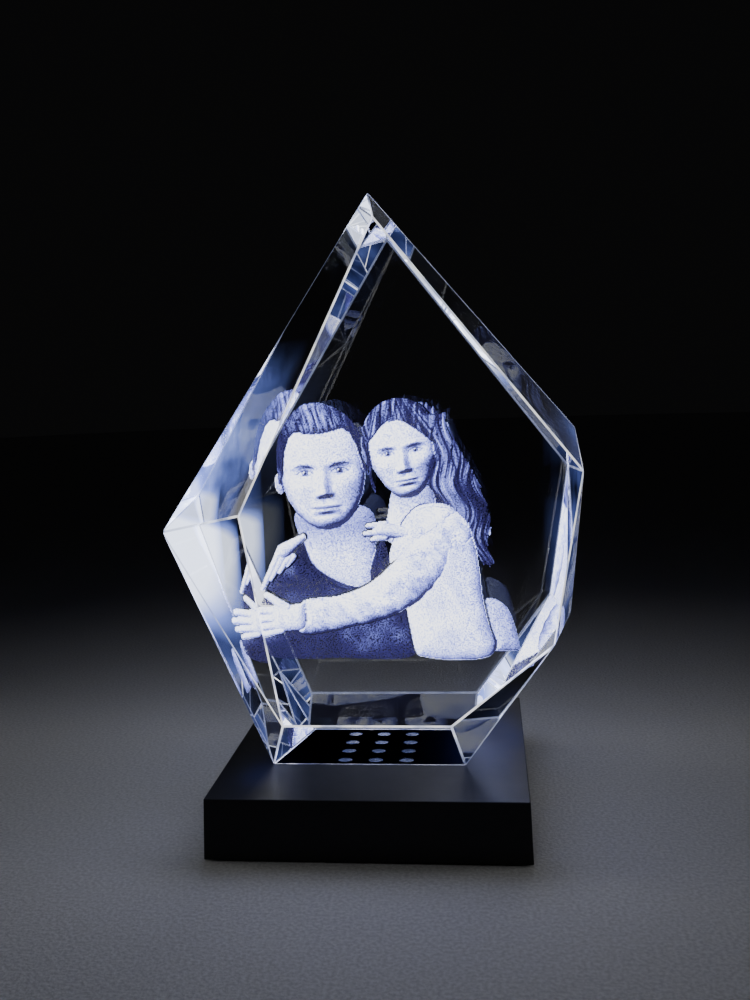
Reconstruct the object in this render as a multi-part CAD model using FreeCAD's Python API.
import FreeCAD, Part
import math
import os

from FreeCAD import Vector

os.makedirs("parts", exist_ok=True)

# A clear faceted crystal award, engraved inside, that stands on a square lighted base.
# Millimetres. The origin is the centre of the base on the surface it stands on, +Z is up,
# and the crystal's large flat front face looks along -Y.

# ---- driving dimensions ----
BASE_WIDTH = 100.0          # across the flat top of the base
BASE_TOP = 20.0             # height of the base's top, where the crystal stands
DRAFT = 0.7                 # how far each wall leans out between the top and the floor
FOOT_PROUD = 0.8            # how far the rubber feet stand below the case
WALL = 2.4
TOP_SKIN = 2.0
PLATE_TOP = 3.0             # upper side of the bottom plate
PLATE_GAP = 0.15
EDGE_ROUND = 0.35

CRYSTAL_DEPTH = 60.0
CONTACT_DEPTH = 42.4        # depth of the face that the crystal stands on

LED_PITCH = 10.3
LED_COLUMNS = 3
LED_ROWS = 4
LENS_RADIUS = 2.5
LENS_RECESS = 0.2
LENS_FLANGE = 0.5
FLANGE_LIP = 0.6            # how far the flange stands out round the lens

LED_BOARD = (44.0, 52.0, 1.2)
LED_BOARD_Z = 15.0
BOARD_BOSS = (19.0, 23.0)
BOSS_RADIUS = 2.2
CHIP_SIZE = (3.5, 2.8, 1.2)
CHIP_WELL = (1.1, 0.9)      # radius of the lamp's well and height of its floor
SIDE_PART_X = 18.0          # resistors and driver stand this far either side of the lamps
RESISTOR_SIZE = (1.6, 3.2, 0.6)
DRIVER_SIZE = (4.0, 5.0, 1.3)

CELL_RADIUS = 5.25
CELL_LENGTH = 44.5
CELL_PITCH = 11.2
CELL_Z = 8.3
NUB_RADIUS = 1.9
NUB_LENGTH = 1.2
BAY_HALF = (25.0, 16.8)     # inside of the battery bay
BAY_WALL = 1.2
BAY_ROOF = (13.75, 14.55)
CONTACT_SKIN = 0.4
CONTACT_REACH = 4.2         # how far a contact plate runs past its cells' centres
CONTACT_Z = (4.2, 13.2)
BUTTON_RADII = (2.6, 1.5)
LEAF_WIDTH = 4.4

DOOR_HALF = 29.0
DOOR_FRONT = -18.5
DOOR_Z = (0.9, 2.1)
DOOR_TONGUE = 1.0
TONGUE_INSET = 0.3          # each tongue is thinner than the plate by this much above and below
RIDGE_COUNT = 5
RIDGE_PITCH = 2.2
RIDGE_HALF = 12.0
RIDGE_DEPTH = 0.4
RUN_GAP = 0.15              # sliding clearance beside and above the door

POST = 42.5                 # corner posts, from the centre in X and Y
POST_RADIUS = 3.0
SCREW_RADIUS = 1.0
HEAD_RADIUS = 1.9
HEAD_HEIGHT = 1.3
HEAD_ROUND = 0.25
SLOT_HALF = 0.2             # half the width of a screw's cross slot
SLOT_DEPTH = 0.4
SLOT_SHARE = 0.7            # length of the slot as a share of the head
SCREW_TIP = 10.0
PILOT_TOP = 10.5
FOOT_PLACE = (37.5, 33.0)
FOOT_RADIUS = 4.0
FOOT_HEIGHT = 1.6
FOOT_ROUND = 0.4

POWER_BOARD_Y = (34.0, 46.3)
POWER_BOARD_HALF = 38.0
POWER_BOARD_Z = (6.1, 7.3)
STANDOFF = (14.0, 40.0)
STANDOFF_RADIUS = 2.5
SMALL_SCREW_RADIUS = 0.8
SMALL_HEAD_RADIUS = 1.6
SMALL_HEAD_HEIGHT = (1.0, 0.9)   # on the power board and on the lamp board
STANDOFF_TIP = 3.6

SOCKET_X = 32.0
SOCKET_SIZE = (8.94, 7.3, 3.26)
SOCKET_SKIN = 0.3
SOCKET_FLOOR = 1.0
TONGUE_HALF = (3.35, 0.35)
SWITCH_X = -32.0
SWITCH_TRAVEL = 3.0
KNOB = (2.8, 2.4)           # width and height of the switch knob
KNOB_Z = 9.7
KNOB_PROUD = 1.0
KNOB_ROUND = 0.3
STEM_HALF = (1.0, 0.8)
STEM_DEPTH = 2.6
GRIP_PITCH = 0.6            # three fine grooves across the knob's end
SWITCH_HALF = 4.5
SWITCH_DEPTH = 5.0
SWITCH_ABOVE = 2.2
SWITCH_SLOT = (3.0, 1.2)    # depth and half height of the slot the stem runs in

WIRE_RADIUS = 0.6
WIRE_BEND = 2.4
BATTERY_WIRE_Z = 12.0
BATTERY_WIRE_OUT = (33.0, 30.0)      # corner beside the bay
BATTERY_WIRE_END = (23.0, 38.0)      # where it lands on the power board
LAMP_WIRE_X = 6.0
LAMP_WIRE_Y = (39.0, 22.0)
LAMP_WIRE_Z = 11.0

half = BASE_WIDTH / 2
case_bottom = FOOT_PROUD
inner_half = half - WALL
ceiling = BASE_TOP - TOP_SKIN


def box(low, high):
    size = Vector(*high) - Vector(*low)
    return Part.makeBox(size.x, size.y, size.z, Vector(*low))


def rod(radius, x, y, low, high):
    return Part.makeCylinder(radius, high - low, Vector(x, y, low))


def corners(x, y):
    return [(sx * x, sy * y) for sx in (-1, 1) for sy in (-1, 1)]


def fuse(shapes):
    return shapes[0].multiFuse(shapes[1:]).removeSplitter()


def cut(shape, tools):
    return shape.cut(Part.makeCompound(tools)).removeSplitter()


def save(name, shape):
    print(name, "valid" if shape.isValid() else "NOT VALID", round(shape.Volume, 2))
    shape.exportStep("parts/" + name + ".step")


# ---- the crystal: a convex solid held between planes ----
def plane(a, b, c):
    """Plane through three points as (normal, distance), its normal pointing out of the crystal."""
    normal = (b - a).cross(c - a).normalize()
    if normal.dot(Vector(0, 0, BASE_TOP + 80) - a) > 0:
        normal = -normal
    return normal, normal.dot(a)


def meeting_point(first, second, third):
    """The point on three planes."""
    n1, n2, n3 = first[0], second[0], third[0]
    turn = n1.dot(n2.cross(n3))
    if abs(turn) < 1e-6:
        return None
    total = n2.cross(n3) * first[1] + n3.cross(n1) * second[1] + n1.cross(n2) * third[1]
    return total * (1 / turn)


def convex_solid(planes):
    """Solid inside all the planes, with one face on each."""
    points = []
    count = len(planes)
    for i in range(count):
        for j in range(i + 1, count):
            for k in range(j + 1, count):
                point = meeting_point(planes[i], planes[j], planes[k])
                if point is None or any(n.dot(point) > d + 1e-4 for n, d in planes):
                    continue
                if all((point - other).Length > 1e-3 for other in points):
                    points.append(point)
    faces = []
    for normal, distance in planes:
        ring = [p for p in points if abs(normal.dot(p) - distance) < 1e-3]
        middle = sum(ring, Vector()) * (1 / len(ring))
        across = (ring[0] - middle).normalize()
        up = normal.cross(across)
        ring.sort(key=lambda p: math.atan2((p - middle).dot(up), (p - middle).dot(across)))
        faces.append(Part.Face(Part.makePolygon(ring + ring[:1])))
    shell = Part.makeShell(faces)
    shell.sewShape()
    return Part.makeSolid(shell)


def crystal():
    """Front and back are parallel faces, each with a ring of facets that meet the sides."""
    def at(x, y, z):
        return Vector(x, y, z + BASE_TOP)

    front = -CRYSTAL_DEPTH / 2
    back = CRYSTAL_DEPTH / 2
    foot = CONTACT_DEPTH / 2
    # corners of the front face, from its top round by the left
    f_top, f_left = at(6.4, front, 175.4), at(-39.5, front, 85.1)
    f_low_left, f_low_right = at(-28.3, front, 16.2), at(26.2, front, 16.2)
    f_right, f_shoulder = at(59.0, front, 42.6), at(68.4, front, 96.8)
    # corners of the back face, in the same order
    b_top, b_left = at(7.0, back, 173.5), at(-51.5, back, 80.0)
    b_low_left, b_low_right = at(-25.3, back, 15.2), at(34.0, back, 15.2)
    b_right, b_shoulder = at(60.2, back, 50.7), at(66.7, back, 95.1)
    # corners on the sides
    left_tip = at(-74.4, 0, 75.9)
    shoulder = at(66.9, -18.5, 109.4)
    hip = at(65.6, -10.0, 48.4)
    stand_left, stand_right = at(-33.9, -foot, 0), at(30.2, -foot, 0)
    stand_back = at(32.5, foot, 0)

    bottom = plane(stand_left, stand_right, stand_back)
    upper_left = plane(f_top, f_left, left_tip)
    upper_right = plane(f_shoulder, f_top, shoulder)
    back_upper_left = plane(b_top, b_left, left_tip)
    back_upper_right = plane(b_shoulder, b_top, at(66.9, 19.5, 109.0))
    back_left = plane(b_left, b_low_left, left_tip)
    back_low = plane(b_low_left, b_low_right, stand_back)
    right = plane(f_shoulder, hip, b_shoulder)
    low_right = plane(stand_right, stand_back, hip)

    peak = meeting_point(upper_left, upper_right, (Vector(0, 1, 0), front + 6))
    back_peak = meeting_point(back_upper_left, back_upper_right, (Vector(0, 1, 0), back - 7))
    stand_back_left = meeting_point(back_left, back_low, bottom)
    back_hip = meeting_point(right, low_right, (Vector(0, 1, 0), 12.0))

    return convex_solid([
        bottom, upper_left, upper_right, back_upper_left, back_upper_right, back_left, back_low,
        right, low_right,
        plane(f_top, f_left, f_low_left),
        plane(b_top, b_low_left, b_low_right),
        plane(f_left, f_low_left, left_tip),
        plane(left_tip, f_low_left, stand_left),
        plane(f_low_left, f_low_right, stand_left),
        plane(f_low_right, f_right, stand_right),
        plane(f_right, f_shoulder, hip),
        plane(f_right, hip, stand_right),
        plane(left_tip, stand_left, stand_back_left),
        plane(peak, left_tip, back_peak),
        plane(peak, shoulder, back_peak),
        plane(f_shoulder, shoulder, b_shoulder),
        plane(b_right, b_shoulder, back_hip),
        plane(b_right, stand_back, back_hip),
        plane(b_low_right, b_right, stand_back),
    ])


# ---- the base's case ----
def led_places():
    for row in range(LED_ROWS):
        for column in range(LED_COLUMNS):
            x = (column - (LED_COLUMNS - 1) / 2) * LED_PITCH
            y = (row - (LED_ROWS - 1) / 2) * LED_PITCH
            yield row + 1, column + 1, x, y


def square_wire(reach, z):
    ends = ((-reach, -reach), (reach, -reach), (reach, reach), (-reach, reach))
    ring = [Vector(x, y, z) for x, y in ends]
    return Part.makePolygon(ring + ring[:1])


def wall_reach(z):
    """Distance from the centre to the outside of a wall at a height."""
    return half + DRAFT * (BASE_TOP - z) / BASE_TOP


def top_cover():
    sections = [square_wire(wall_reach(z), z) for z in (case_bottom, BASE_TOP)]
    block = Part.makeLoft(sections, True, True)
    outer_edges = [e for e in block.Edges if e.BoundBox.ZMax > BASE_TOP - 0.01]
    block = block.makeFillet(EDGE_ROUND, outer_edges)
    hollow = box((-inner_half, -inner_half, case_bottom - 1), (inner_half, inner_half, ceiling))
    shell = cut(block, [hollow])
    posts = [rod(POST_RADIUS, x, y, PLATE_TOP, ceiling + 1) for x, y in corners(POST, POST)]
    board_top = LED_BOARD_Z + LED_BOARD[2]
    bosses = [rod(BOSS_RADIUS, x, y, board_top, ceiling + 1) for x, y in corners(*BOARD_BOSS)]
    shell = fuse([shell] + posts + bosses)
    openings = [rod(LENS_RADIUS, x, y, ceiling - 1, BASE_TOP + 1) for _, _, x, y in led_places()]
    openings += [rod(SCREW_RADIUS, x, y, PLATE_TOP - 1, PILOT_TOP) for x, y in corners(POST, POST)]
    openings += [rod(SMALL_SCREW_RADIUS, x, y, board_top - 1, ceiling + 0.6) for x, y in corners(*BOARD_BOSS)]
    openings.append(box((-DOOR_HALF - DOOR_TONGUE - RUN_GAP, inner_half - 1, case_bottom - 1),
                        (DOOR_HALF + DOOR_TONGUE + RUN_GAP, half + 2, DOOR_Z[1] + RUN_GAP)))
    reach = (SWITCH_TRAVEL + KNOB[0]) / 2 + 0.4
    openings.append(box((SWITCH_X - reach, inner_half - 1, KNOB_Z - KNOB[1] / 2 - 0.2),
                        (SWITCH_X + reach, half + 2, KNOB_Z + KNOB[1] / 2 + 0.2)))
    openings.append(socket_outline(0.1, inner_half - 1, half + 2))
    return cut(shell, openings)


def bay_outline(extra, low, high):
    x, y = BAY_HALF
    return box((-x - extra, -y - extra, low), (x + extra, y + extra, high))


def door_outline(gap, back):
    """The door's plate and its two side tongues, grown by a gap."""
    low, high = DOOR_Z
    plate = box((-DOOR_HALF - gap, DOOR_FRONT - gap, low - gap), (DOOR_HALF + gap, back, high + gap))
    reach = DOOR_HALF + DOOR_TONGUE
    tongues = box((-reach - gap, DOOR_FRONT - gap, low + TONGUE_INSET - gap),
                  (reach + gap, back, high - TONGUE_INSET + gap))
    return fuse([plate, tongues])


def bottom_plate():
    reach = inner_half - PLATE_GAP
    plate = box((-reach, -reach, case_bottom), (reach, reach, PLATE_TOP))
    bay = bay_outline(BAY_WALL, PLATE_TOP - 1, BAY_ROOF[1])
    standoffs = [rod(STANDOFF_RADIUS, s * STANDOFF[0], STANDOFF[1], PLATE_TOP - 0.5, POWER_BOARD_Z[0])
                 for s in (-1, 1)]
    plate = fuse([plate, bay] + standoffs)
    openings = [bay_outline(0, case_bottom - 1, BAY_ROOF[0]), door_outline(RUN_GAP, half + 2)]
    openings += [rod(SCREW_RADIUS, x, y, 0, PLATE_TOP + 1) for x, y in corners(POST, POST)]
    openings += [rod(HEAD_RADIUS + 0.1, x, y, 0, case_bottom + HEAD_HEIGHT) for x, y in corners(POST, POST)]
    openings += [rod(FOOT_RADIUS, x, y, 0, FOOT_HEIGHT) for x, y in corners(*FOOT_PLACE)]
    openings += [rod(SMALL_SCREW_RADIUS, s * STANDOFF[0], STANDOFF[1], PLATE_TOP, POWER_BOARD_Z[0] + 1)
                 for s in (-1, 1)]
    openings += [wire_hole(side) for side in (-1, 1)]
    return cut(plate, openings)


def wire_hole(side):
    start = Vector(side * (BAY_HALF[0] - 0.5), side * CELL_PITCH, BATTERY_WIRE_Z)
    return Part.makeCylinder(WIRE_RADIUS + 0.2, BAY_WALL + 1, start, Vector(side, 0, 0))


def battery_door():
    back = wall_reach(DOOR_Z[0]) - 0.3
    door = door_outline(0, back)
    ridges = [box((-RIDGE_HALF, back - 6 - RIDGE_PITCH * i, 0),
                  (RIDGE_HALF, back - 5 - RIDGE_PITCH * i, DOOR_Z[0] + RIDGE_DEPTH)) for i in range(RIDGE_COUNT)]
    return cut(door, ridges)


def foot(x, y):
    pad = rod(FOOT_RADIUS, x, y, 0, FOOT_HEIGHT)
    rim = [e for e in pad.Edges if abs(e.BoundBox.ZMax) < 0.01]
    return pad.makeFillet(FOOT_ROUND, rim)


def screw(x, y, radius, head_radius, head, tip, up):
    """Pan-head screw: head is its two faces' heights, tip is the end of its shank."""
    bottom, top = sorted(head)
    shank = rod(radius, x, y, min(tip, top), max(tip, bottom))
    cap = rod(head_radius, x, y, bottom, top)
    outer = bottom if up else top
    rim = [e for e in cap.Edges if abs(e.BoundBox.ZMin - outer) < 0.01 and e.BoundBox.ZLength < 0.01]
    cap = cap.makeFillet(HEAD_ROUND, rim)
    slot_low, slot_high = (outer - 0.1, outer + SLOT_DEPTH) if up else (outer - SLOT_DEPTH, outer + 0.1)
    bar = head_radius * SLOT_SHARE
    slots = [box((x - bar, y - SLOT_HALF, slot_low), (x + bar, y + SLOT_HALF, slot_high)),
             box((x - SLOT_HALF, y - bar, slot_low), (x + SLOT_HALF, y + bar, slot_high))]
    return cut(fuse([shank, cap]), slots)


def case_screws():
    head = (case_bottom + 0.1, case_bottom + HEAD_HEIGHT)
    return Part.makeCompound([screw(x, y, SCREW_RADIUS, HEAD_RADIUS, head, SCREW_TIP, True)
                              for x, y in corners(POST, POST)])


# ---- power: cells, contacts, board, socket and switch ----
def cell(number):
    """One of three cells lying along X, the middle one turned round."""
    toward = 1 if number == 2 else -1
    y = (number - 2) * CELL_PITCH
    start = Vector(-toward * CELL_LENGTH / 2, y, CELL_Z)
    along = Vector(toward, 0, 0)
    can = Part.makeCylinder(CELL_RADIUS, CELL_LENGTH - NUB_LENGTH, start, along)
    can = can.makeFillet(0.4, [e for e in can.Edges if len(e.Vertexes) == 1])
    nub = Part.makeCylinder(NUB_RADIUS, CELL_LENGTH - 1, start + along, along)
    return fuse([can, nub])


def contact_plate(side, cells):
    """Flat plate on the bay's end wall, behind the cells that it joins."""
    wall = side * BAY_HALF[0]
    ys = [(n - 2) * CELL_PITCH for n in cells]
    low, high = sorted((wall, wall - side * CONTACT_SKIN))
    return box((low, min(ys) - CONTACT_REACH, CONTACT_Z[0]), (high, max(ys) + CONTACT_REACH, CONTACT_Z[1]))


def contact_button(side, number):
    """Pressed button that meets a cell's nub."""
    base = Vector(side * (BAY_HALF[0] - CONTACT_SKIN), (number - 2) * CELL_PITCH, CELL_Z)
    height = BAY_HALF[0] - CONTACT_SKIN - CELL_LENGTH / 2
    return Part.makeCone(*BUTTON_RADII, height, base, Vector(-side, 0, 0))


def contact_leaf(side, number):
    """Bent leaf that presses on a cell's flat end."""
    wall = BAY_HALF[0] - CONTACT_SKIN
    end = CELL_LENGTH / 2
    outline = [(wall, 5.0), (end, 7.4), (end, 9.2), (wall - 0.5, 11.4),
               (wall - 0.2, 11.2), (end + 0.35, 9.05), (end + 0.35, 7.55), (wall, 5.45)]
    y = (number - 2) * CELL_PITCH - LEAF_WIDTH / 2
    ring = [Vector(side * x, y, z) for x, z in outline]
    return Part.Face(Part.makePolygon(ring + ring[:1])).extrude(Vector(0, LEAF_WIDTH, 0))


def contact(side, buttons, leaves):
    pieces = [contact_plate(side, buttons + leaves)]
    pieces += [contact_button(side, n) for n in buttons]
    pieces += [contact_leaf(side, n) for n in leaves]
    return fuse(pieces)


def power_board():
    x, z = POWER_BOARD_HALF, POWER_BOARD_Z
    board = box((-x, POWER_BOARD_Y[0], z[0]), (x, POWER_BOARD_Y[1], z[1]))
    holes = [rod(SMALL_SCREW_RADIUS, s * STANDOFF[0], STANDOFF[1], z[0] - 1, z[1] + 1) for s in (-1, 1)]
    return cut(board, holes)


def socket_outline(gap, low_y, high_y):
    """Flattened round bar along Y, the shape of the power socket's mouth."""
    width, _, height = SOCKET_SIZE
    radius = height / 2 + gap
    z = POWER_BOARD_Z[1] + height / 2
    reach = width / 2 - height / 2
    length = high_y - low_y
    ends = [Part.makeCylinder(radius, length, Vector(SOCKET_X + s * reach, low_y, z), Vector(0, 1, 0))
            for s in (-1, 1)]
    middle = box((SOCKET_X - reach, low_y, z - radius), (SOCKET_X + reach, high_y, z + radius))
    return fuse(ends + [middle])


def socket_span():
    mouth = wall_reach(POWER_BOARD_Z[1]) - 0.2
    return mouth - SOCKET_SIZE[1], mouth


def power_socket():
    back, mouth = socket_span()
    return cut(socket_outline(0, back, mouth), [socket_outline(-SOCKET_SKIN, back + SOCKET_FLOOR, mouth + 1)])


def socket_tongue():
    back, mouth = socket_span()
    z = POWER_BOARD_Z[1] + SOCKET_SIZE[2] / 2
    wide, thick = TONGUE_HALF
    blade = box((SOCKET_X - wide, back + SOCKET_FLOOR, z - thick), (SOCKET_X + wide, mouth - 0.6, z + thick))
    return blade.makeFillet(0.2, [e for e in blade.Edges if e.BoundBox.YMin > mouth - 0.7])


def switch_body():
    front = inner_half - 0.2
    body = box((SWITCH_X - SWITCH_HALF, front - SWITCH_DEPTH, POWER_BOARD_Z[1]),
               (SWITCH_X + SWITCH_HALF, front, KNOB_Z + SWITCH_ABOVE))
    reach = (SWITCH_TRAVEL + KNOB[0]) / 2 + 0.3
    deep, high = SWITCH_SLOT
    slot = box((SWITCH_X - reach, front - deep, KNOB_Z - high), (SWITCH_X + reach, front + 1, KNOB_Z + high))
    return cut(body, [slot])


def switch_knob():
    x = SWITCH_X - SWITCH_TRAVEL / 2
    front = inner_half - 0.2
    tip = wall_reach(KNOB_Z) + KNOB_PROUD
    across, up = STEM_HALF
    stem = box((x - across, front - STEM_DEPTH, KNOB_Z - up), (x + across, front + 1.0, KNOB_Z + up))
    wide, high = KNOB[0] / 2, KNOB[1] / 2
    cap = box((x - wide, front + 0.4, KNOB_Z - high), (x + wide, tip, KNOB_Z + high))
    cap = cap.makeFillet(KNOB_ROUND, [e for e in cap.Edges if e.BoundBox.YMin > tip - 0.1])
    starts = [x + GRIP_PITCH * (i - 1.25) for i in range(3)]
    grip = [box((s, tip - 0.3, 0), (s + GRIP_PITCH / 2, tip + 1, BASE_TOP)) for s in starts]
    return cut(fuse([stem, cap]), grip)


def power_board_screws():
    head = (POWER_BOARD_Z[1], POWER_BOARD_Z[1] + SMALL_HEAD_HEIGHT[0])
    return Part.makeCompound([screw(s * STANDOFF[0], STANDOFF[1], SMALL_SCREW_RADIUS, SMALL_HEAD_RADIUS,
                                    head, STANDOFF_TIP, False) for s in (-1, 1)])


# ---- light: board, chips, lenses ----
def led_board():
    x, y, thickness = LED_BOARD
    top = LED_BOARD_Z + thickness
    board = box((-x / 2, -y / 2, LED_BOARD_Z), (x / 2, y / 2, top))
    holes = [rod(SMALL_SCREW_RADIUS, px, py, LED_BOARD_Z - 1, top + 1) for px, py in corners(*BOARD_BOSS)]
    return cut(board, holes)


def board_screws():
    head = (LED_BOARD_Z - SMALL_HEAD_HEIGHT[1], LED_BOARD_Z)
    return Part.makeCompound([screw(x, y, SMALL_SCREW_RADIUS, SMALL_HEAD_RADIUS, head, ceiling + 0.4, True)
                              for x, y in corners(*BOARD_BOSS)])


def on_board(x, y, size):
    """A small part on the lamp board's upper side."""
    floor = LED_BOARD_Z + LED_BOARD[2]
    return box((x - size[0] / 2, y - size[1] / 2, floor), (x + size[0] / 2, y + size[1] / 2, floor + size[2]))


def led_chip(x, y):
    """Flat lamp with a shallow round well for its phosphor."""
    floor = LED_BOARD_Z + LED_BOARD[2]
    return cut(on_board(x, y, CHIP_SIZE), [rod(CHIP_WELL[0], x, y, floor + CHIP_WELL[1], floor + 2)])


def led_lens(x, y):
    """Clear plug in the top cover, with a flange under the skin."""
    top = BASE_TOP - LENS_RECESS
    plug = rod(LENS_RADIUS, x, y, ceiling, top)
    plug = plug.makeFillet(0.15, [e for e in plug.Edges if abs(e.BoundBox.ZMin - top) < 0.01])
    flange = rod(LENS_RADIUS + FLANGE_LIP, x, y, ceiling - LENS_FLANGE, ceiling)
    return fuse([plug, flange])


def wire(points):
    """Round wire along straight runs joined by tangent arcs."""
    path = [Vector(*p) for p in points]
    edges = []
    start = path[0]
    for before, corner, after in zip(path, path[1:], path[2:]):
        inward = (before - corner).normalize()
        onward = (after - corner).normalize()
        turn = math.pi - inward.getAngle(onward)
        setback = WIRE_BEND * math.tan(turn / 2)
        first = corner + inward * setback
        last = corner + onward * setback
        bisector = (inward + onward).normalize()
        centre = corner + bisector * (WIRE_BEND / math.cos(turn / 2))
        middle = centre - bisector * WIRE_BEND
        edges.append(Part.LineSegment(start, first).toShape())
        edges.append(Part.Arc(first, middle, last).toShape())
        start = last
    edges.append(Part.LineSegment(start, path[-1]).toShape())
    profile = Part.Wire(Part.makeCircle(WIRE_RADIUS, path[0], path[1] - path[0]))
    return Part.Wire(edges).makePipeShell([profile], True, False)


def battery_wire(side):
    """From a contact plate, out through the bay's wall and back to the power board."""
    y = side * CELL_PITCH
    x = side * BAY_HALF[0]
    z = BATTERY_WIRE_Z
    out, corner_y = side * BATTERY_WIRE_OUT[0], BATTERY_WIRE_OUT[1]
    landing, end_y = side * BATTERY_WIRE_END[0], BATTERY_WIRE_END[1]
    return wire([(x, y, z), (out, y, z), (out, corner_y, z), (landing, end_y, z),
                 (landing, end_y, POWER_BOARD_Z[1])])


def lamp_wire(side):
    """From the power board up to the lamp board."""
    x = side * LAMP_WIRE_X
    low_y, high_y = LAMP_WIRE_Y
    return wire([(x, low_y, POWER_BOARD_Z[1]), (x, low_y, LAMP_WIRE_Z), (x, high_y, LAMP_WIRE_Z),
                 (x, high_y, LED_BOARD_Z)])


save("crystal", crystal())
save("top_cover", top_cover())
save("bottom_plate", bottom_plate())
save("battery_door", battery_door())
for place, (x, y) in zip(("front_left", "back_left", "front_right", "back_right"), corners(*FOOT_PLACE)):
    save("foot_" + place, foot(x, y))
save("case_screws", case_screws())
for number in (1, 2, 3):
    save("cell_" + str(number), cell(number))
save("contact_positive", contact(-1, [1], []))
save("contact_bridge_left", contact(-1, [3], [2]))
save("contact_bridge_right", contact(1, [2], [1]))
save("contact_negative", contact(1, [], [3]))
save("power_board", power_board())
save("power_board_screws", power_board_screws())
save("power_socket", power_socket())
save("socket_tongue", socket_tongue())
save("switch_body", switch_body())
save("switch_knob", switch_knob())
save("led_board", led_board())
save("board_screws", board_screws())
for row, column, x, y in led_places():
    save(f"led_chip_{row}_{column}", led_chip(x, y))
    save(f"led_lens_{row}_{column}", led_lens(x, y))
for number in (1, 2, 3):
    save("resistor_" + str(number), on_board(-SIDE_PART_X, (number - 2) * LED_PITCH, RESISTOR_SIZE))
save("driver_chip", on_board(SIDE_PART_X, 0.0, DRIVER_SIZE))
save("wire_battery_plus", battery_wire(-1))
save("wire_battery_minus", battery_wire(1))
save("wire_lamp_plus", lamp_wire(-1))
save("wire_lamp_minus", lamp_wire(1))
